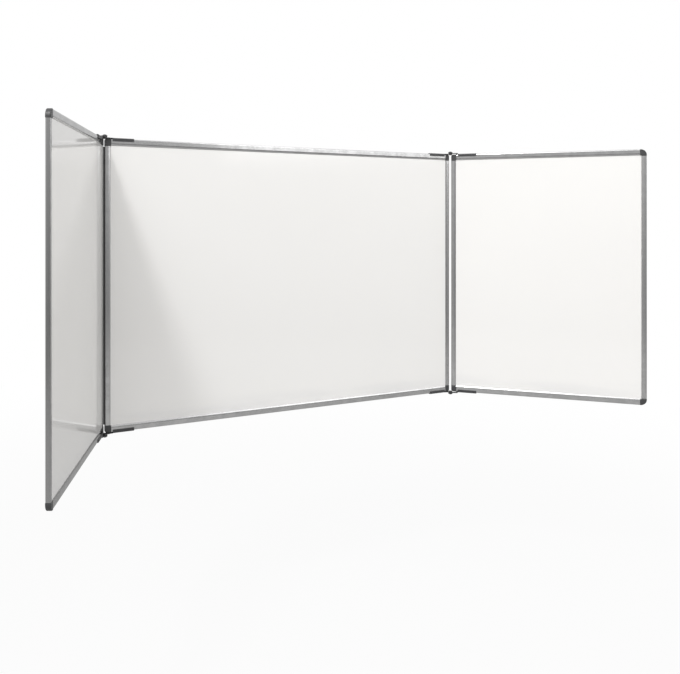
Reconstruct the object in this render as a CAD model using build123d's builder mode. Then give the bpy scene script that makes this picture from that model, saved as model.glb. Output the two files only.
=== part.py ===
from build123d import *
import os

# Folding wall whiteboard: a fixed centre panel with two half-width wings, in millimetres.
# X runs along the wall, -Y faces the room and Z is up. The wall is the plane y = 0, and the
# origin is the middle of the four wall screws. The wings stand half folded.

# Panels
panel_height = 1000.0
centre_width = 1500.0
hinge_gap = 6.0        # between the centre panel and a wing that lies flat beside it
closing_gap = 12.0     # between the two wings when both are closed
left_fold = 63.0       # degrees each wing is folded forward from flat
right_fold = 48.0

# Frame extrusion
frame_depth = 14.0
rail_face = 24.0       # visible width of the top and bottom members
stile_face = 19.0      # visible width of the upright members
frame_wall = 1.4
edge_radius = 4.0      # rounding along the outer edge
roll_width = 8.0       # the face rolls down to the board over this width
lip_edge = 0.8         # what is left of the lip at its inner edge

# Board in the frame's groove
board_recess = 3.0     # from the front of the frame down to the writing face
board_insert = 7.0     # how far the board goes into the groove
insert_clearance = 0.6
sheet_thickness = 0.5

# Corner pieces
corner_radius = 22.0
hinge_corner_radius = 8.0   # beside a hinge, where two corners meet
corner_reach = 2.0     # how far each leg covers the member past the corner's own square
corner_proud = 0.6     # how far the corner stands out of the frame's faces
corner_round = 2.5     # rounding along the edges of its faces
plain_tenon = 30.0
hinge_tenon = 80.0
tenon_clearance = 0.3

# Hinges
axis_offset = 3.5      # hinge axis in front of the frame's front face
strap_plate = 2.5
strap_length = 105.0   # from the axis to the end of the strap
strap_drop = 9.0       # how far the strap's lip comes down over the front of the rail
bend_radius = 1.0      # inside radius of the strap's bend
strap_clearance = 0.5  # between the lip and the corner piece
eye_radius = 8.0
neck_length = 24.0     # from the axis to where the strap has its full width
riser_length = 5.0     # the step that lifts a wing's eye over the fixed eye
pin_radius = 4.0
pin_clearance = 0.05
washer_thickness = 0.8
end_play = 0.2
rivet_radius = 5.5
rivet_height = 2.5
head_radius = 9.5
head_rim = 1.5
head_dome = 5.0

# Strap screws
screw_radius = 2.0
screw_clearance = 0.25
screw_head_radius = 3.75
screw_length = 12.0
screws_per_strap = 3
first_screw = 40.0     # from the axis
screw_pitch = 26.0
drive_width = 0.8
drive_length = 4.0
drive_depth = 1.0

# Wall hooks
wall_gap = 8.0
hook_plate = 2.0
hook_width = 40.0
hook_side_play = 3.0
hook_rise = 3.0        # how far the tongue reaches up behind the rail's back wall
hook_tip_gap = 1.5     # from the tongue's tip to the top of the rail's chamber
hook_back_gap = 0.5    # between the tongue and the rail's back wall
hook_lift = 0.6        # spare height in the slot, to lift the board on and off
hook_margin = 15.0     # plate beyond the screw hole
fixing_pitch_x = 1200.0
fixing_pitch_z = 930.0
fixing_radius = 2.75

# Places that follow from the sizes
wing_width = (centre_width - closing_gap) / 2
half_depth = frame_depth / 2
middle_y = -(wall_gap + half_depth)
front_y = middle_y - half_depth
back_y = middle_y + half_depth
top_z = panel_height / 2
axis_y = front_y - axis_offset
axis_x = (centre_width + hinge_gap) / 2
stile_leg = rail_face + corner_reach                  # of a corner piece, down the stile
groove_depth = board_insert + insert_clearance
groove_width = frame_depth - 2 * board_recess
core_thickness = groove_width - 2 * sheet_thickness
chamber_depth = frame_depth - 2 * frame_wall
chamber_radius = edge_radius - frame_wall
screw_head_depth = screw_head_radius - screw_radius
lift = strap_plate + washer_thickness + end_play      # level of a wing's eye above its strap
lip_start = neck_length + riser_length + strap_clearance
strap_front = axis_offset - strap_plate               # measured back from the axis
strap_back = axis_offset + frame_depth
screw_reaches = [first_screw + i * screw_pitch for i in range(screws_per_strap)]


def turned_about_hinge(x, degrees):
    """The placement that swings a wing from flat about the upright axis at x."""
    return Location((x, axis_y, 0)) * Location((0, 0, 0), (0, 0, degrees)) * Location((-x, -axis_y, 0))


# Each panel: where it lies when flat, how it is turned, and which of its sides carry hinges.
# A side is -1 for the left edge and 1 for the right edge.
panels = {
    "centre": {
        "low": -centre_width / 2,
        "high": centre_width / 2,
        "turn": Location(),
        "hinged": (-1, 1),
    },
    "left_wing": {
        "low": -centre_width / 2 - hinge_gap - wing_width,
        "high": -centre_width / 2 - hinge_gap,
        "turn": turned_about_hinge(-axis_x, left_fold),
        "hinged": (1,),
    },
    "right_wing": {
        "low": centre_width / 2 + hinge_gap,
        "high": centre_width / 2 + hinge_gap + wing_width,
        "turn": turned_about_hinge(axis_x, -right_fold),
        "hinged": (-1,),
    },
}
side_names = {-1: "left", 1: "right"}
level_names = {-1: "bottom", 1: "top"}


def placed(panel, origin, x_dir, z_dir):
    """A sketch plane given on the flat panel, turned with it."""
    flat = Plane(origin=origin, x_dir=x_dir, z_dir=z_dir)
    return Plane(panel["turn"] * flat.location)


def edge_x(panel, side):
    return panel["low"] if side < 0 else panel["high"]


def panel_hinge_x(panel, side):
    """The hinge axis beside one edge of a panel."""
    return edge_x(panel, side) + side * hinge_gap / 2


def corner_rounding(panel, side):
    return hinge_corner_radius if side in panel["hinged"] else corner_radius


def rail_leg(panel, side):
    """How far a corner piece reaches along the rail."""
    return max(stile_face, corner_rounding(panel, side)) + corner_reach


def chamber_width(face):
    return face - groove_depth - 2 * frame_wall


def save(piece, name):
    piece.part.label = name
    export_step(piece.part, f"parts/{name}.step")


# Boards

def board_layer(panel, depth, thickness):
    """One layer of a board, its front at this depth behind the frame's front."""
    width = panel["high"] - panel["low"] - 2 * (stile_face - board_insert)
    height = panel_height - 2 * (rail_face - board_insert)
    middle_x = (panel["low"] + panel["high"]) / 2
    plane = placed(panel, (middle_x, front_y + depth, 0), (1, 0, 0), (0, 1, 0))
    with BuildPart() as layer:
        with BuildSketch(plane):
            Rectangle(width, height)
        extrude(amount=thickness)
    return layer


# Frame members

def member_section(plane, face):
    """Section of a member: x inward from its outer edge, y through its depth."""
    with BuildSketch(plane) as section:
        with BuildLine():
            Line((0, 0), (0, edge_radius - half_depth))
            CenterArc((edge_radius, edge_radius - half_depth), edge_radius, 180, 90)
            Line((edge_radius, -half_depth), (face - roll_width, -half_depth))
            TangentArc(
                (face - roll_width, -half_depth),
                (face, -groove_width / 2 - lip_edge),
                tangent=(1, 0),
            )
            Polyline(
                (face, -groove_width / 2 - lip_edge),
                (face, -groove_width / 2),
                (face - groove_depth, -groove_width / 2),
                (face - groove_depth, 0),
            )
            mirror(about=Plane.XZ)
        make_face()
        with Locations((frame_wall + chamber_width(face) / 2, 0)):
            RectangleRounded(chamber_width(face), chamber_depth, chamber_radius, mode=Mode.SUBTRACT)
    return section.sketch


def rail(panel, level):
    """The top or bottom member, with its strap screw holes."""
    edge_z = level * top_z
    start = panel["low"] + rail_leg(panel, -1)
    length = panel["high"] - rail_leg(panel, 1) - start
    section = member_section(placed(panel, (start, middle_y, edge_z), (0, 0, -level), (1, 0, 0)), rail_face)
    with BuildPart() as member:
        extrude(section, amount=length)
        for side in panel["hinged"]:
            for reach in screw_reaches:
                x = panel_hinge_x(panel, side) - side * reach
                with BuildSketch(placed(panel, (x, middle_y, edge_z), (1, 0, 0), (0, 0, -level))):
                    Circle(screw_radius + screw_clearance)
                extrude(amount=2 * frame_wall, mode=Mode.SUBTRACT)
        if panel is panels["centre"]:
            slot_height = hook_plate + hook_rise + hook_lift
            slot_z = shelf_top(level) - slot_height / 2 + hook_rise_gap(level)
            with BuildSketch(Plane(origin=(0, back_y, slot_z), x_dir=(1, 0, 0), z_dir=(0, -1, 0))):
                with GridLocations(fixing_pitch_x, 0, 2, 1):
                    Rectangle(hook_width + 2 * hook_side_play, slot_height)
            extrude(amount=frame_wall, mode=Mode.SUBTRACT)
    return member


def stile(panel, side):
    """The left or right member."""
    origin = (edge_x(panel, side), middle_y, stile_leg - top_z)
    section = member_section(placed(panel, origin, (-side, 0, 0), (0, 0, 1)), stile_face)
    with BuildPart() as member:
        extrude(section, amount=panel_height - 2 * stile_leg)
    return member


# Corner pieces

def tenon_section(plane, face):
    """Section of a plug that fits a member's chamber."""
    with BuildSketch(plane) as section:
        with Locations((frame_wall + chamber_width(face) / 2, 0)):
            RectangleRounded(
                chamber_width(face) - 2 * tenon_clearance,
                chamber_depth - 2 * tenon_clearance,
                chamber_radius - tenon_clearance,
            )
    return section.sketch


def corner(panel, side, level):
    """A rounded corner piece with a tenon in each of the two members that it joins."""
    x = edge_x(panel, side)
    edge_z = level * top_z
    hinged = side in panel["hinged"]
    radius = corner_rounding(panel, side)
    leg = rail_leg(panel, side)
    flat = placed(panel, (x, middle_y, edge_z), (-side, 0, 0), (0, -side * level, 0))
    faces = Axis(flat.origin, flat.z_dir)
    rail_end = placed(panel, (x - side * leg, middle_y, edge_z), (0, 0, -level), (-side, 0, 0))
    stile_end = placed(panel, (x, middle_y, edge_z - level * stile_leg), (-side, 0, 0), (0, 0, -level))
    with BuildPart() as piece:
        with BuildSketch(flat):
            with BuildLine():
                CenterArc((radius, radius), radius, 180, 90)
                Polyline(
                    (radius, 0),
                    (leg, 0),
                    (leg, rail_face),
                    (stile_face, rail_face),
                    (stile_face, stile_leg),
                    (0, stile_leg),
                    (0, radius),
                )
            make_face()
        extrude(amount=half_depth + corner_proud, both=True)
        rims = piece.edges().group_by(faces)
        fillet(rims[0] + rims[-1], corner_round)
        with BuildSketch(flat):
            with Locations((stile_face - groove_depth, rail_face - groove_depth)):
                Rectangle(leg, stile_leg, align=(Align.MIN, Align.MIN))
        extrude(amount=groove_width / 2, both=True, mode=Mode.SUBTRACT)
        extrude(tenon_section(rail_end, rail_face), amount=hinge_tenon if hinged else plain_tenon)
        extrude(tenon_section(stile_end, stile_face), amount=plain_tenon)
        if hinged:
            for reach in screw_reaches:
                screw_x = panel_hinge_x(panel, side) - side * reach
                with BuildSketch(placed(panel, (screw_x, middle_y, edge_z), (1, 0, 0), (0, 0, -level))):
                    Circle(screw_radius)
                extrude(amount=screw_length - strap_plate, mode=Mode.SUBTRACT)
    return piece


# Hinges

def strap(panel, side, level):
    """A hinge strap on the outer edge of a rail, ending in an eye on the hinge axis.

    Along it, reach is measured from the axis into the panel, back is measured from the
    axis towards the wall and height outward from the rail's edge.
    """
    x = panel_hinge_x(panel, side)
    edge_z = level * top_z
    hand = -side * level
    raised = panel is not panels["centre"]
    eye_height = lift if raised else 0
    eye_hole = pin_radius + pin_clearance if raised else pin_radius

    def plan(height):
        return placed(panel, (x, axis_y, edge_z + level * height), (-side, 0, 0), (0, 0, level))

    with BuildPart() as piece:
        section_origin = (x - side * lip_start, axis_y, edge_z)
        with BuildSketch(placed(panel, section_origin, (0, 1, 0), (-side, 0, 0))) as section:
            with BuildLine():
                Polyline(
                    (strap_back, 0),
                    (strap_back, hand * strap_plate),
                    (strap_front, hand * strap_plate),
                    (strap_front, -hand * strap_drop),
                    (axis_offset, -hand * strap_drop),
                    (axis_offset, 0),
                    close=True,
                )
            make_face()
            outside = section.vertices().sort_by_distance((strap_front, hand * strap_plate, 0))[0]
            fillet(outside, bend_radius + strap_plate)
            inside = section.vertices().sort_by_distance((axis_offset, 0, 0))[0]
            fillet(inside, bend_radius)
        extrude(amount=strap_length - lip_start)

        neck_end = neck_length + riser_length if raised else lip_start
        with BuildSketch(plan(eye_height)):
            Circle(eye_radius)
            with BuildLine():
                Polyline(
                    (0, -hand * eye_radius),
                    (neck_length, hand * strap_front),
                    (neck_end, hand * strap_front),
                    (neck_end, hand * strap_back),
                    (neck_length, hand * strap_back),
                    (0, hand * eye_radius),
                    close=True,
                )
            make_face()
        extrude(amount=strap_plate)
        if raised:
            foot_length = lip_start - neck_length
            back_width = strap_back - strap_front
            back_middle = hand * (strap_front + strap_back) / 2
            with BuildSketch(plan(0)):
                with Locations((neck_length + foot_length / 2, back_middle)):
                    Rectangle(foot_length, back_width)
            extrude(amount=strap_plate)
            with BuildSketch(plan(0)):
                with Locations((neck_length + riser_length / 2, back_middle)):
                    Rectangle(riser_length, back_width)
            extrude(amount=lift)
        with BuildSketch(plan(eye_height)):
            Circle(eye_hole)
        extrude(amount=strap_plate, mode=Mode.SUBTRACT)
        for reach in screw_reaches:
            outer_face = edge_z + level * strap_plate
            screw_x = x - side * reach
            mouth = placed(panel, (screw_x, middle_y, outer_face), (1, 0, 0), (0, 0, -level))
            with BuildSketch(mouth):
                Circle(screw_head_radius)
            extrude(amount=screw_head_depth, taper=45, mode=Mode.SUBTRACT)
            with BuildSketch(mouth):
                Circle(screw_radius + screw_clearance)
            extrude(amount=strap_plate, mode=Mode.SUBTRACT)
    return piece


def strap_screws(panel):
    """All the countersunk screws that hold one panel's straps."""
    with BuildPart() as group:
        for side in panel["hinged"]:
            for level in (-1, 1):
                for reach in screw_reaches:
                    x = panel_hinge_x(panel, side) - side * reach
                    outer_face = level * (top_z + strap_plate)
                    mouth = placed(panel, (x, middle_y, outer_face), (1, 0, 0), (0, 0, -level))
                    with BuildSketch(mouth):
                        Circle(screw_head_radius)
                    extrude(amount=screw_head_depth, taper=45)
                    with BuildSketch(mouth):
                        Circle(screw_radius)
                    extrude(amount=screw_length)
                    with BuildSketch(mouth):
                        Rectangle(drive_length, drive_width)
                        Rectangle(drive_width, drive_length)
                    extrude(amount=drive_depth, mode=Mode.SUBTRACT)
    return group


def hinge_pin(side, level):
    """A riveted pin with a domed head, fixed in the centre panel's eye."""
    edge_z = level * top_z
    head_base = lift + strap_plate + end_play
    plane = Plane(origin=(side * axis_x, axis_y, edge_z), x_dir=(1, 0, 0), z_dir=(0, -level, 0))
    with BuildPart() as pin:
        with BuildSketch(plane):
            with BuildLine():
                Polyline(
                    (0, -rivet_height),
                    (rivet_radius, -rivet_height),
                    (rivet_radius, 0),
                    (pin_radius, 0),
                    (pin_radius, head_base),
                    (head_radius, head_base),
                    (head_radius, head_base + head_rim),
                )
                TangentArc(
                    (0, head_base + head_rim + head_dome),
                    (head_radius, head_base + head_rim),
                    tangent=(1, 0),
                )
                Line((0, head_base + head_rim + head_dome), (0, -rivet_height))
            make_face()
        revolve(axis=Axis((side * axis_x, axis_y, 0), (0, 0, 1)))
    return pin


def hinge_washer(side, level):
    """The washer between the two eyes of a hinge."""
    plane = Plane(
        origin=(side * axis_x, axis_y, level * (top_z + strap_plate)),
        x_dir=(1, 0, 0),
        z_dir=(0, 0, level),
    )
    with BuildPart() as washer:
        with BuildSketch(plane):
            Circle(eye_radius)
            Circle(pin_radius + pin_clearance, mode=Mode.SUBTRACT)
        extrude(amount=washer_thickness)
    return washer


# Wall hooks

def chamber_top(level):
    """The highest inside height of a rail's chamber."""
    if level > 0:
        return top_z - frame_wall
    return -top_z + frame_wall + chamber_width(rail_face)


def hook_rise_gap(level):
    """Spare height over the bottom hooks' shelves, so that the top hooks carry the board."""
    return 0 if level > 0 else end_play


def shelf_top(level):
    return chamber_top(level) - hook_tip_gap - hook_rise - hook_rise_gap(level)


def wall_hook(side, level):
    """A bent steel hook: a plate on the wall, a shelf and a tongue behind the rail's wall."""
    shelf = shelf_top(level)
    far_end = level * (fixing_pitch_z / 2 - hook_margin)
    plate_low = min(far_end, shelf - hook_plate)
    plate_high = max(far_end, shelf)
    tongue_y = back_y - frame_wall - hook_back_gap - hook_plate
    with BuildPart() as hook:
        plane = Plane(
            origin=(side * fixing_pitch_x / 2, 0, 0),
            x_dir=(0, 1, 0),
            z_dir=(1, 0, 0),
        )
        with BuildSketch(plane):
            corner_align = (Align.MIN, Align.MIN)
            with Locations((-hook_plate, plate_low)):
                Rectangle(hook_plate, plate_high - plate_low, align=corner_align)
            with Locations((tongue_y, shelf - hook_plate)):
                Rectangle(-tongue_y, hook_plate, align=corner_align)
                Rectangle(hook_plate, hook_plate + hook_rise, align=corner_align)
        extrude(amount=hook_width / 2, both=True)
        hole_origin = (side * fixing_pitch_x / 2, 0, level * fixing_pitch_z / 2)
        with BuildSketch(Plane(origin=hole_origin, x_dir=(1, 0, 0), z_dir=(0, -1, 0))):
            Circle(fixing_radius)
        extrude(amount=hook_plate, mode=Mode.SUBTRACT)
    return hook


# Making the pieces

os.makedirs("parts", exist_ok=True)

for panel_name, panel in panels.items():
    back_sheet_depth = board_recess + sheet_thickness + core_thickness
    save(board_layer(panel, board_recess, sheet_thickness), f"{panel_name}_writing_sheet")
    save(board_layer(panel, board_recess + sheet_thickness, core_thickness), f"{panel_name}_core")
    save(board_layer(panel, back_sheet_depth, sheet_thickness), f"{panel_name}_back_sheet")
    for level, level_name in level_names.items():
        save(rail(panel, level), f"{panel_name}_{level_name}_rail")
    for side, side_name in side_names.items():
        save(stile(panel, side), f"{panel_name}_{side_name}_stile")
        for level, level_name in level_names.items():
            save(corner(panel, side, level), f"{panel_name}_{level_name}_{side_name}_corner")
    for side in panel["hinged"]:
        for level, level_name in level_names.items():
            strap_name = f"{panel_name}_{level_name}_{side_names[side]}_strap"
            save(strap(panel, side, level), strap_name)
    save(strap_screws(panel), f"{panel_name}_strap_screws")

for side, side_name in side_names.items():
    for level, level_name in level_names.items():
        save(hinge_pin(side, level), f"hinge_pin_{level_name}_{side_name}")
        save(hinge_washer(side, level), f"hinge_washer_{level_name}_{side_name}")
        save(wall_hook(side, level), f"wall_hook_{level_name}_{side_name}")
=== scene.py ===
# %% [markdown]
# # A folding magnetic whiteboard
# The real object hangs on a wall: a fixed centre panel and a half-width wing hinged at each
# side of it. Every panel is a sheet of enamelled steel on a board core, held in a rounded
# aluminium frame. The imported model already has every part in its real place, in metres,
# with the wall at y = 0 and the room towards -y, so this lesson adds what the solids lack:
# the finishes, two strips of felt, the light and the camera.

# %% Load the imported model
import math
import bpy
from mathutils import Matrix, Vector


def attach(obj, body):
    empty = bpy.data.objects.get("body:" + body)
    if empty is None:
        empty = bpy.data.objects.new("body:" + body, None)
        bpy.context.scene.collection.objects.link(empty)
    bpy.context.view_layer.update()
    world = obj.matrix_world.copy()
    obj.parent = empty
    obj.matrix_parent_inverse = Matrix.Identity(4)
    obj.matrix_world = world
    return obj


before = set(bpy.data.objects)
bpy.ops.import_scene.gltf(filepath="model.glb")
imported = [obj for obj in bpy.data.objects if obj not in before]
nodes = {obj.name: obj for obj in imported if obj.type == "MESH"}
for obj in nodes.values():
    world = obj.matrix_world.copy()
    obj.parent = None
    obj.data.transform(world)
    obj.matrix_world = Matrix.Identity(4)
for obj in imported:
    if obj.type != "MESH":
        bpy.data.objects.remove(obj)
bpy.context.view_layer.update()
scene = bpy.context.scene

# %% [markdown]
# ## The camera
# The photograph was taken from the left, a little above the middle of the board, with the
# camera held level, so upright edges stay upright. The numbers come from fitting a pinhole
# camera to the panels' edges. The lens shift stands for the way the picture was cropped.

# %% Place the camera
heading = -26.93

camera_data = bpy.data.cameras.new("camera")
camera_data.lens = 42.86
camera_data.shift_x = 0.1411
camera_data.shift_y = -0.1708
camera = bpy.data.objects.new("camera", camera_data)
camera.location = (-1.573, -2.680, 0.220)
camera.rotation_euler = (math.radians(90), 0, math.radians(heading))
scene.collection.objects.link(camera)
scene.camera = camera
print("camera at", tuple(camera.location))

# %% [markdown]
# ## The studio light
# The photograph shows soft light that comes from the upper left. The world gives that soft
# light from all round. Comparing each direction with the main one, by a dot product, makes
# it stronger on that side and weaker on the other, as a large soft lamp would.

# %% Light the room
main_direction = (-0.5, -0.5, 0.707)
weakest_light = 0.15
strongest_light = 0.84

world = bpy.data.worlds.new("studio")
scene.world = world
world.use_nodes = True
tree = world.node_tree
tree.nodes.clear()
direction = tree.nodes.new("ShaderNodeTexCoord").outputs["Generated"]
facing = tree.nodes.new("ShaderNodeVectorMath")
facing.operation = "DOT_PRODUCT"
facing.inputs[1].default_value = main_direction
tree.links.new(direction, facing.inputs[0])
soft_side = tree.nodes.new("ShaderNodeMapRange")
soft_side.inputs["From Min"].default_value = -1.0
soft_side.inputs["To Min"].default_value = weakest_light
soft_side.inputs["To Max"].default_value = strongest_light
tree.links.new(facing.outputs["Value"], soft_side.inputs["Value"])
room = tree.nodes.new("ShaderNodeBackground")
room.inputs["Color"].default_value = (1.0, 0.99, 0.975, 1)
tree.links.new(soft_side.outputs["Result"], room.inputs["Strength"])
print("soft light from the upper left")

# %% [markdown]
# ## Which rays see white
# The camera sees a white surround whatever the lamps do. The Light Path node tells which rays
# come straight from the camera and which from a reflection or through glass, so a material
# can look white to them and still add no light to the board.

# %% Light path helper
def seen_share(tree, straight, reflected):
    """One share for rays straight from the camera, another for reflections and glass."""
    path = tree.nodes.new("ShaderNodeLightPath")
    others = tree.nodes.new("ShaderNodeMath")
    others.operation = "MAXIMUM"
    tree.links.new(path.outputs["Is Glossy Ray"], others.inputs[0])
    tree.links.new(path.outputs["Is Transmission Ray"], others.inputs[1])
    scaled = tree.nodes.new("ShaderNodeMath")
    scaled.operation = "MULTIPLY"
    scaled.inputs[1].default_value = reflected
    tree.links.new(others.outputs[0], scaled.inputs[0])
    total = tree.nodes.new("ShaderNodeMath")
    total.operation = "MULTIPLY_ADD"
    total.inputs[1].default_value = straight
    tree.links.new(path.outputs["Is Camera Ray"], total.inputs[0])
    tree.links.new(scaled.outputs[0], total.inputs[2])
    return total.outputs[0]


print("light path helper ready")

# %% [markdown]
# ## What the reflections see
# A real studio has its light overhead and is darker below and behind the camera. Dimming the
# white surround in those two directions, for reflections only, gives the rounded aluminium
# its light upper side and its dark lower side.

# %% Dim the reflections
split = tree.nodes.new("ShaderNodeSeparateXYZ")
tree.links.new(direction, split.inputs[0])
overhead = tree.nodes.new("ShaderNodeMapRange")
overhead.interpolation_type = "SMOOTHSTEP"
overhead.inputs["From Min"].default_value = -0.35
overhead.inputs["From Max"].default_value = 0.3
overhead.inputs["To Min"].default_value = 0.12
tree.links.new(split.outputs["Z"], overhead.inputs["Value"])
behind = tree.nodes.new("ShaderNodeMapRange")
behind.inputs["From Min"].default_value = -1.0
behind.inputs["From Max"].default_value = -0.45
behind.inputs["To Min"].default_value = 0.7
tree.links.new(split.outputs["Y"], behind.inputs["Value"])
dimmed = tree.nodes.new("ShaderNodeMath")
dimmed.operation = "MULTIPLY"
tree.links.new(overhead.outputs["Result"], dimmed.inputs[0])
tree.links.new(behind.outputs["Result"], dimmed.inputs[1])
print("reflections dimmed below and behind the camera")

# %% [markdown]
# ## The white surround
# Two backgrounds share the world. One is the soft light, which falls on the board. The other
# is the white that the camera sees and the dimmed white that reflections see. The light path
# chooses between them.

# %% White surround
white = tree.nodes.new("ShaderNodeMath")
white.operation = "MAXIMUM"
tree.links.new(seen_share(tree, 1.0, 0.0), white.inputs[0])
tree.links.new(dimmed.outputs[0], white.inputs[1])
surround = tree.nodes.new("ShaderNodeBackground")
surround.inputs["Color"].default_value = (1, 1, 1, 1)
tree.links.new(white.outputs[0], surround.inputs["Strength"])
choose = tree.nodes.new("ShaderNodeMixShader")
tree.links.new(seen_share(tree, 1.0, 1.0), choose.inputs[0])
tree.links.new(room.outputs[0], choose.inputs[1])
tree.links.new(surround.outputs[0], choose.inputs[2])
world_out = tree.nodes.new("ShaderNodeOutputWorld")
tree.links.new(choose.outputs[0], world_out.inputs[0])
scene.view_settings.view_transform = "Standard"
print("white surround set")

# %% [markdown]
# ## The lamps
# In the photograph the left wing throws a slanting grey shadow across the centre panel, with
# one soft and one clearer edge. A wide lamp and a small one on the upper left make it, both
# far away, so that the board's top and bottom get nearly the same light. A wide front lamp
# on the right fills the shadow. It hangs so high that the glossy sheets don't mirror it and
# only the rounded top rails catch it as a highlight, together with a faint lamp above them.

# %% Hang the lamps
def soft_lamp(name, place, target, width, watts):
    """A square studio lamp of this width at a place, turned towards a target."""
    data = bpy.data.lights.new(name, "AREA")
    data.size = width
    data.energy = watts
    lamp = bpy.data.objects.new(name, data)
    lamp.location = place
    aim = Vector(target) - Vector(place)
    lamp.rotation_euler = aim.to_track_quat("-Z", "Y").to_euler()
    lamp.visible_camera = False
    scene.collection.objects.link(lamp)


left_of_middle = (-0.35, 0, 0)
soft_lamp("small_lamp", (-5.98, -4.71, 7.53), left_of_middle, 1.12, 405)
soft_lamp("wide_lamp", (-4.90, -3.81, 6.10), left_of_middle, 4.4, 186)
soft_lamp("front_lamp", (3.6, -4.9, 2.36), (0.4, 0, 0.4), 3.0, 40)
soft_lamp("top_lamp", (1.1, -1.5, 2.6), (0.3, 0, 0.3), 0.9, 10)
print(len(bpy.data.lights), "lamps hung")

# %% [markdown]
# ## The floor
# The board hangs with its lower edge 0.8 m above the floor. The floor is pale and keeps a
# trace of the board's shadow. To the camera it glows nearly white, and fades to full white
# away from the board, so that it has no edge against the surround.

# %% Lay the floor
floor_level = -1.31
floor_reach = 7
fade_from = 1.2
fade_to = 5.0
glow_below_board = 0.94
glow_in_reflections = 0.1

bpy.ops.object.select_all(action="DESELECT")
bpy.ops.mesh.primitive_circle_add(
    vertices=96, radius=floor_reach, fill_type="NGON", location=(0, 0, floor_level)
)
floor = bpy.context.object
floor.name = "floor"
floor_material = bpy.data.materials.new("pale_floor")
floor_material.use_nodes = True
tree = floor_material.node_tree
shader = tree.nodes["Principled BSDF"]
shader.inputs["Base Color"].default_value = (0.46, 0.46, 0.46, 1)
shader.inputs["Roughness"].default_value = 0.8
away = tree.nodes.new("ShaderNodeVectorMath")
away.operation = "LENGTH"
tree.links.new(tree.nodes.new("ShaderNodeTexCoord").outputs["Object"], away.inputs[0])
fade = tree.nodes.new("ShaderNodeMapRange")
fade.interpolation_type = "SMOOTHSTEP"
fade.inputs["From Min"].default_value = fade_from
fade.inputs["From Max"].default_value = fade_to
fade.inputs["To Min"].default_value = glow_below_board
tree.links.new(away.outputs["Value"], fade.inputs["Value"])
direct = tree.nodes.new("ShaderNodeMath")
direct.operation = "MULTIPLY"
tree.links.new(seen_share(tree, 1.0, glow_in_reflections), direct.inputs[0])
tree.links.new(fade.outputs["Result"], direct.inputs[1])
glow = tree.nodes.new("ShaderNodeEmission")
glow.inputs["Strength"].default_value = 1.0
floor_mix = tree.nodes.new("ShaderNodeMixShader")
tree.links.new(direct.outputs[0], floor_mix.inputs[0])
tree.links.new(shader.outputs[0], floor_mix.inputs[1])
tree.links.new(glow.outputs[0], floor_mix.inputs[2])
tree.links.new(floor_mix.outputs[0], tree.nodes["Material Output"].inputs["Surface"])
floor.data.materials.append(floor_material)
print("floor laid at", round(floor.location.z, 3))

# %% [markdown]
# ## Measuring along a panel
# The three panels stand at different angles. A pattern that runs along a wing has to be
# measured along that wing, so a Mapping node turns the place on the part back by the wing's
# own angle, about its hinge. Then x runs along the panel from the hinge, y is depth and z
# is height.

# %% Panel helpers
hinge_reach = 0.753
hinge_depth = -0.0255
panel_turns = {
    "centre": (0.0, (0.0, hinge_depth, 0.0)),
    "left_wing": (63.0, (-hinge_reach, hinge_depth, 0.0)),
    "right_wing": (-48.0, (hinge_reach, hinge_depth, 0.0)),
}


def object_place(tree):
    """The place on the part, in the model's own axes."""
    return tree.nodes.new("ShaderNodeTexCoord").outputs["Object"]


def panel_place(tree, panel):
    """The place on the part, measured along its own panel."""
    turn, hinge = panel_turns[panel]
    local = tree.nodes.new("ShaderNodeMapping")
    local.vector_type = "TEXTURE"
    local.inputs["Location"].default_value = hinge
    local.inputs["Rotation"].default_value = (0, 0, math.radians(turn))
    tree.links.new(object_place(tree), local.inputs["Vector"])
    return local.outputs[0]


def split_place(tree, place):
    """The x, y and z of a place."""
    node = tree.nodes.new("ShaderNodeSeparateXYZ")
    tree.links.new(place, node.inputs[0])
    return node.outputs


print("ready to measure along", len(panel_turns), "panels")

# %% [markdown]
# ## Noise and numbers
# Every finish is built from the same few steps: take the place on the part, stretch it, run
# it through noise, and spread the noise over the range that the finish needs.

# %% Number helpers
def noise(tree, place, scale, stretch=(1, 1, 1), detail=3.0, roughness=0.55):
    """Noise at so many grains a metre, squeezed along each axis by stretch."""
    fit = tree.nodes.new("ShaderNodeMapping")
    fit.inputs["Scale"].default_value = stretch
    tree.links.new(place, fit.inputs["Vector"])
    texture = tree.nodes.new("ShaderNodeTexNoise")
    texture.inputs["Scale"].default_value = scale
    texture.inputs["Detail"].default_value = detail
    texture.inputs["Roughness"].default_value = roughness
    tree.links.new(fit.outputs[0], texture.inputs["Vector"])
    return texture.outputs["Fac"]


def spread(tree, value, low, high, start=0.0, end=1.0):
    """The value's stretch from start to end, spread from low to high."""
    node = tree.nodes.new("ShaderNodeMapRange")
    node.interpolation_type = "SMOOTHSTEP"
    node.inputs["From Min"].default_value = start
    node.inputs["From Max"].default_value = end
    node.inputs["To Min"].default_value = low
    node.inputs["To Max"].default_value = high
    tree.links.new(value, node.inputs["Value"])
    return node.outputs[0]


def combine(tree, operation, first, second):
    """One number made of two, by adding, multiplying or the like."""
    node = tree.nodes.new("ShaderNodeMath")
    node.operation = operation
    for socket, value in zip(node.inputs, (first, second)):
        if isinstance(value, (int, float)):
            socket.default_value = value
        else:
            tree.links.new(value, socket)
    return node.outputs[0]


print("number helpers ready")

# %% [markdown]
# ## Colour, gloss and relief
# A finish starts from one plain colour and gloss on the main shader. Then patterns take over:
# a share blends two colours, another varies the roughness, and a height gives fine relief
# as bump, which bends the light and leaves the mesh as it is.

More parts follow.
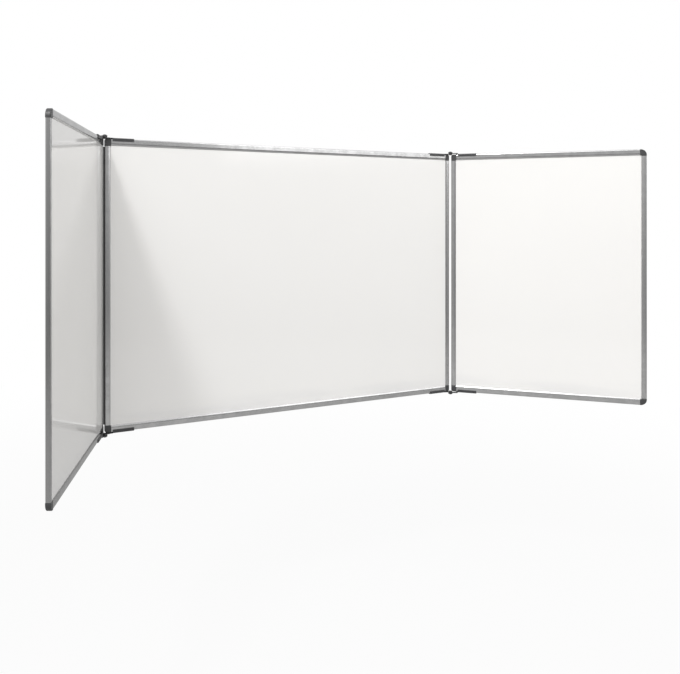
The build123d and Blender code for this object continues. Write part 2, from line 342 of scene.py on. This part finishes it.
# %% Finish helpers
def new_finish(name, colour, roughness, metallic=0.0):
    """A material with its main shader set, and the tree to build on."""
    material = bpy.data.materials.new(name)
    material.use_nodes = True
    material.diffuse_color = (*colour, 1)
    shader = material.node_tree.nodes["Principled BSDF"]
    shader.inputs["Base Color"].default_value = (*colour, 1)
    shader.inputs["Roughness"].default_value = roughness
    shader.inputs["Metallic"].default_value = metallic
    return material, material.node_tree, shader


def blend_colours(tree, share, first, second):
    """A colour between two, by share. Each is three numbers or another colour's output."""
    node = tree.nodes.new("ShaderNodeMix")
    node.data_type = "RGBA"
    tree.links.new(share, node.inputs["Factor"])
    for socket, colour in ((node.inputs[6], first), (node.inputs[7], second)):
        if isinstance(colour, tuple):
            socket.default_value = (*colour, 1)
        else:
            tree.links.new(colour, socket)
    return node.outputs[2]


def relief(tree, shader, height, strength, distance):
    """Bump from a height between 0 and 1, distance metres deep."""
    bump = tree.nodes.new("ShaderNodeBump")
    bump.inputs["Strength"].default_value = strength
    bump.inputs["Distance"].default_value = distance
    tree.links.new(height, bump.inputs["Height"])
    tree.links.new(bump.outputs[0], shader.inputs["Normal"])


def dress(material, names):
    """Gives a finish to the named parts, and says how many there were."""
    for name in names:
        mesh = nodes[name].data
        mesh.materials.clear()
        mesh.materials.append(material)
    print(material.name, "on", len(names), "parts")


print("finish helpers ready")

# %% [markdown]
# ## The writing surface
# The sheets are steel with a fired coat of white enamel. Such a coat is hard and glossy,
# but it is never a mirror: it flows a little as it melts, which leaves a very shallow
# waviness, and years of wiping leave faint sideways streaks that are slightly duller. The
# eraser also leaves a thin grey trace of marker dust along the bottom. Noise stretched
# sideways gives the streaks, and a coarse noise as bump gives the waviness.

# %% Enamel finish
dust_height = (-0.478, -0.405)


def enamel(panel):
    """Glossy white enamel with wiping streaks and a trace of dust along the bottom."""
    material, tree, shader = new_finish(f"writing_enamel_{panel}", (0.86, 0.853, 0.84), 0.1)
    place = panel_place(tree, panel)
    streaks = noise(tree, place, 9, (0.35, 0.35, 2.2), 5)
    fine_wear = noise(tree, place, 70, (0.25, 0.25, 3.0), 3)
    both = combine(tree, "MULTIPLY", streaks, fine_wear)
    tree.links.new(spread(tree, both, 0.07, 0.13, 0.12, 0.42), shader.inputs["Roughness"])
    low_edge = spread(tree, split_place(tree, place)["Z"], 1.0, 0.0, *dust_height)
    patchy = spread(tree, streaks, 0.1, 0.55, 0.35, 0.65)
    dust = combine(tree, "MULTIPLY", low_edge, patchy)
    cloud = noise(tree, place, 2.2, (1, 1, 1), 2)
    white = blend_colours(tree, cloud, (0.872, 0.865, 0.853), (0.85, 0.845, 0.833))
    dusty = blend_colours(tree, dust, white, (0.74, 0.74, 0.745))
    tree.links.new(dusty, shader.inputs["Base Color"])
    shader.inputs["IOR"].default_value = 1.5
    shader.inputs["Coat Weight"].default_value = 0.25
    shader.inputs["Coat Roughness"].default_value = 0.07
    relief(tree, shader, noise(tree, place, 55, (1, 1, 1), 2), 0.05, 0.0004)
    return material


for panel in panel_turns:
    faces = [f"{panel}_writing_sheet"]
    if panel != "centre":
        faces.append(f"{panel}_back_sheet")
    dress(enamel(panel), faces)

# %% [markdown]
# ## The frame
# The frame's four members are cut from one extruded aluminium section, then anodised to a
# satin grey. Extruding leaves very fine lines along the length, so each member needs noise
# that is long in its own direction: the rails along the panel, the stiles up and down.
# Handling polishes the rounded front edge, so it is slightly smoother and lighter there.
# In the photograph the left wing's frame is darker than the other two. That is painted shade: it
# comes from the light each panel gets, and is put into the colour here as a shade tone of each
# panel's own.

# %% Aluminium finish
# Painted shade: each panel's frame colour is scaled down by how little light that panel gets,
# most on the left wing.
panel_shade_tones = {"centre": 1.0, "left_wing": 0.74, "right_wing": 0.95}
front_edge_depth = (0.0035, 0.0065)
along_grain = 5
across_grain = 1800


def grey(level):
    """A plain grey of this level."""
    return (level, level, level)


def aluminium(name, panel, stretch):
    """Satin anodised aluminium with fine lines along the member."""
    material, tree, shader = new_finish(name, (0.5, 0.5, 0.495), 0.24, 1.0)
    # The panel's painted shade tone darkens every metal colour below.
    shade_tone = panel_shade_tones[panel]
    place = panel_place(tree, panel)
    lines = noise(tree, place, 1, stretch, 3, 0.6)
    broad = noise(tree, place, 1, tuple(s * 0.3 for s in stretch), 2)
    grain = combine(tree, "MULTIPLY", lines, broad)
    front = spread(tree, split_place(tree, place)["Y"], 1.0, 0.0, *front_edge_depth)
    rubbed = spread(tree, noise(tree, place, 30), 0.2, 0.9, 0.35, 0.65)
    worn = combine(tree, "MULTIPLY", front, rubbed)
    share = spread(tree, grain, 0, 1, 0.12, 0.42)
    base = blend_colours(tree, share, grey(0.47 * shade_tone), grey(0.53 * shade_tone))
    metal = blend_colours(tree, worn, base, grey(0.58 * shade_tone))
    tree.links.new(metal, shader.inputs["Base Color"])
    satin = spread(tree, grain, 0.2, 0.28, 0.12, 0.42)
    polished = combine(tree, "MULTIPLY", worn, 0.08)
    tree.links.new(combine(tree, "SUBTRACT", satin, polished), shader.inputs["Roughness"])
    relief(tree, shader, lines, 0.12, 0.0001)
    return material


lengthways = (along_grain, across_grain, across_grain)
upright = (across_grain, across_grain, along_grain)
for panel in panel_turns:
    rails = aluminium(f"satin_aluminium_{panel}_rails", panel, lengthways)
    stiles = aluminium(f"satin_aluminium_{panel}_stiles", panel, upright)
    dress(rails, [f"{panel}_{level}_rail" for level in ("bottom", "top")])
    dress(stiles, [f"{panel}_{side}_stile" for side in ("left", "right")])

# %% [markdown]
# ## Corner pieces
# The corner pieces are moulded in dark grey plastic with a fine spark-eroded texture, which
# scatters light evenly. Fingers and door frames rub it a little lighter in patches. The
# washers between the hinges' eyes are the same kind of moulding in black.

# %% Moulded plastic finish
def moulded_plastic(name, colour, worn_colour):
    """Dark moulded plastic with a fine texture."""
    material, tree, shader = new_finish(name, colour, 0.5)
    place = object_place(tree)
    grit = noise(tree, place, 2200, (1, 1, 1), 2)
    rubbed = spread(tree, noise(tree, place, 140, (1, 1, 1), 4), 0.0, 0.8, 0.52, 0.75)
    tree.links.new(blend_colours(tree, rubbed, colour, worn_colour), shader.inputs["Base Color"])
    tree.links.new(spread(tree, grit, 0.36, 0.52, 0.3, 0.7), shader.inputs["Roughness"])
    relief(tree, shader, grit, 0.35, 0.00015)
    return material


corner_plastic = moulded_plastic("corner_plastic", (0.044, 0.045, 0.047), (0.068, 0.069, 0.072))
washer_plastic = moulded_plastic("washer_plastic", (0.02, 0.02, 0.02), (0.035, 0.035, 0.035))
dress(corner_plastic, [n for n in nodes if n.endswith("corner")])
dress(washer_plastic, [n for n in nodes if n.startswith("hinge_washer")])

# %% [markdown]
# ## Hinges
# The straps and pins are steel with a satin near-black coating. The coat is slightly uneven,
# and where the eyes turn against each other and along the strap's folded edge it wears
# through in small flecks. The flecks show bare steel, so they are metallic and the coat
# isn't.

# %% Coated steel finish
bare_steel = (0.28, 0.28, 0.27)


def coated_steel(name, colour, roughness, flecks):
    """Satin near-black coating that wears through to steel in small flecks."""
    material, tree, shader = new_finish(name, colour, roughness)
    place = object_place(tree)
    skin = noise(tree, place, 900, (1, 1, 1), 2)
    chips = spread(tree, noise(tree, place, 260, (1, 1, 1), 6, 0.65), 0.0, flecks, 0.62, 0.72)
    lighter = tuple(c * 1.5 + 0.01 for c in colour)
    coat = blend_colours(tree, noise(tree, place, 60), colour, lighter)
    tree.links.new(blend_colours(tree, chips, coat, bare_steel), shader.inputs["Base Color"])
    tree.links.new(chips, shader.inputs["Metallic"])
    uneven = spread(tree, skin, roughness - 0.05, roughness + 0.1, 0.3, 0.7)
    tree.links.new(uneven, shader.inputs["Roughness"])
    relief(tree, shader, skin, 0.25, 0.0001)
    return material


strap_coat = coated_steel("strap_coat", (0.03, 0.03, 0.032), 0.36, 0.55)
pin_coat = coated_steel("pin_coat", (0.022, 0.022, 0.024), 0.3, 0.4)
dress(strap_coat, [n for n in nodes if n.endswith("strap")])
dress(pin_coat, [n for n in nodes if n.startswith("hinge_pin")])

# %% [markdown]
# ## Strap screws
# The screws are steel blackened in a hot bath, which leaves a thin oxide in uneven patches.
# One fine noise serves for colour, gloss and relief, because on the real screw the thicker
# oxide is darker, duller and rougher all at once.

# %% Blackened steel finish
black_steel, tree, shader = new_finish("blackened_steel", (0.09, 0.09, 0.09), 0.42, 1.0)
oxide = noise(tree, object_place(tree), 800, (1, 1, 1), 4)
blackened = blend_colours(tree, oxide, (0.06, 0.06, 0.062), (0.14, 0.138, 0.135))
tree.links.new(blackened, shader.inputs["Base Color"])
tree.links.new(spread(tree, oxide, 0.34, 0.52, 0.3, 0.7), shader.inputs["Roughness"])
relief(tree, shader, oxide, 0.2, 0.0001)
dress(black_steel, [n for n in nodes if n.endswith("strap_screws")])

# %% [markdown]
# ## Felt strips as painted shade
# Beside each hinge the centre panel's edge carries a slim strip of black felt. The strips are
# painted shade: they put a dark thing in the gap at the hinge, where there is only shade. They
# are a guess: the photograph shows only that the gap at the left hinge is dark. Each strip is a
# block nearly as long as the panel is high, sunk a hair into the stile so that no seam shows. A
# bevel rounds all its edges, because cut felt never has a sharp one.

# %% Model the felt strips of painted shade
stile_edge = 0.75
felt_thickness = 0.0032
felt_sunk = 0.0002
felt_front = -0.0175
felt_back = -0.0095
felt_length = 0.944
felt_rounding = 0.0009


def felt_shade_strip(side, direction):
    """One black felt strip, painted shade for the hinge gap, on the centre's hinge-side edge:
    direction is -1 left, 1 right.
    """
    bpy.ops.object.select_all(action="DESELECT")
    across = felt_thickness + felt_sunk
    middle = direction * (stile_edge - felt_sunk + across / 2)
    place = (middle, (felt_front + felt_back) / 2, 0)
    bpy.ops.mesh.primitive_cube_add(size=1, location=place)
    strip = bpy.context.object
    strip.name = f"centre_{side}_felt_shade_strip"
    strip.scale = (across, felt_back - felt_front, felt_length)
    bpy.ops.object.transform_apply(location=True, rotation=True, scale=True)
    bpy.ops.object.mode_set(mode="EDIT")
    bpy.ops.mesh.select_all(action="SELECT")
    bpy.ops.mesh.subdivide(number_cuts=1)
    bpy.ops.object.mode_set(mode="OBJECT")
    rounding = strip.modifiers.new("rounding", "BEVEL")
    rounding.width = felt_rounding
    rounding.segments = 3
    rounding.limit_method = "ANGLE"
    bpy.ops.object.modifier_apply(modifier="rounding")
    bpy.ops.object.shade_smooth_by_angle(angle=math.radians(35))
    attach(strip, "centre_panel")
    return strip


# Both strips are painted shade: black felt in the hinge gaps, where there is only shade.
felt_shade_strips = [felt_shade_strip("left", -1), felt_shade_strip("right", 1)]
print(len(felt_shade_strips), "felt strips,", round(felt_thickness * 1000, 1), "mm thick")

# %% [markdown]
# ## Felt
# Felt is matted wool without a weave. Fine noise, stretched a little along the strip, gives
# the fibres, and a touch of sheen stands for the loose ones that catch the light edge on.

# %% Felt finish
# The near-black colour is painted shade: it darkens the hinge gap, where there is only shade.
shade_felt, tree, shader = new_finish("black_felt_shade", (0.016, 0.016, 0.017), 0.92)
fibres = noise(tree, object_place(tree), 1500, (1, 1, 0.5), 5, 0.7)
matted = blend_colours(tree, fibres, (0.01, 0.01, 0.011), (0.035, 0.034, 0.033))
tree.links.new(matted, shader.inputs["Base Color"])
tree.links.new(spread(tree, fibres, 0.85, 0.97, 0.3, 0.7), shader.inputs["Roughness"])
shader.inputs["Sheen Weight"].default_value = 0.2
relief(tree, shader, fibres, 0.5, 0.0003)
for strip in felt_shade_strips:
    strip.data.materials.append(shade_felt)
print("felt on", len(felt_shade_strips), "strips")

# %% [markdown]
# ## The centre's back
# The centre's back is a plain grey coated steel sheet, which balances the pull of the
# writing sheet, so that the panel stays flat. The coat is rolled on in the length of the
# panel, and so its faint patches are long ones.

# %% Grey coat finish
grey_coat, tree, shader = new_finish("grey_coated_steel", (0.36, 0.37, 0.38), 0.45)
place = panel_place(tree, "centre")
patches = noise(tree, place, 14, (0.3, 1, 1.6), 4)
rolled = blend_colours(tree, patches, (0.34, 0.35, 0.36), (0.41, 0.42, 0.43))
tree.links.new(rolled, shader.inputs["Base Color"])
tree.links.new(spread(tree, patches, 0.38, 0.55, 0.3, 0.7), shader.inputs["Roughness"])
relief(tree, shader, noise(tree, place, 700, (1, 1, 1), 2), 0.15, 0.0001)
dress(grey_coat, ["centre_back_sheet"])

# %% [markdown]
# ## Wall hooks
# The hooks are zinc-plated steel. Plating crystallises in faint patches, some bluish and
# some warmer, a few millimetres across.

# %% Zinc finish
zinc, tree, shader = new_finish("zinc_plate", (0.55, 0.56, 0.57), 0.38, 1.0)
place = object_place(tree)
patches = noise(tree, place, 220, (1, 1, 1), 4)
plated = blend_colours(tree, patches, (0.46, 0.47, 0.49), (0.62, 0.62, 0.6))
tree.links.new(plated, shader.inputs["Base Color"])
tree.links.new(spread(tree, patches, 0.3, 0.5, 0.3, 0.7), shader.inputs["Roughness"])
relief(tree, shader, noise(tree, place, 1200, (1, 1, 1), 2), 0.15, 0.0001)
dress(zinc, [n for n in nodes if n.startswith("wall_hook")])

# %% [markdown]
# ## The core
# The core of every panel is pressed board, hidden between its two sheets. It still gets its
# own finish of pale and dark chips, for whoever takes the panels apart.

# %% Pressed board finish
pressed_board, tree, shader = new_finish("pressed_board", (0.3, 0.19, 0.11), 0.75)
chips = noise(tree, object_place(tree), 240, (1, 1, 1), 5)
board = blend_colours(tree, chips, (0.2, 0.12, 0.065), (0.42, 0.29, 0.17))
tree.links.new(board, shader.inputs["Base Color"])
relief(tree, shader, chips, 0.5, 0.0003)
dress(pressed_board, [n for n in nodes if n.endswith("core")])
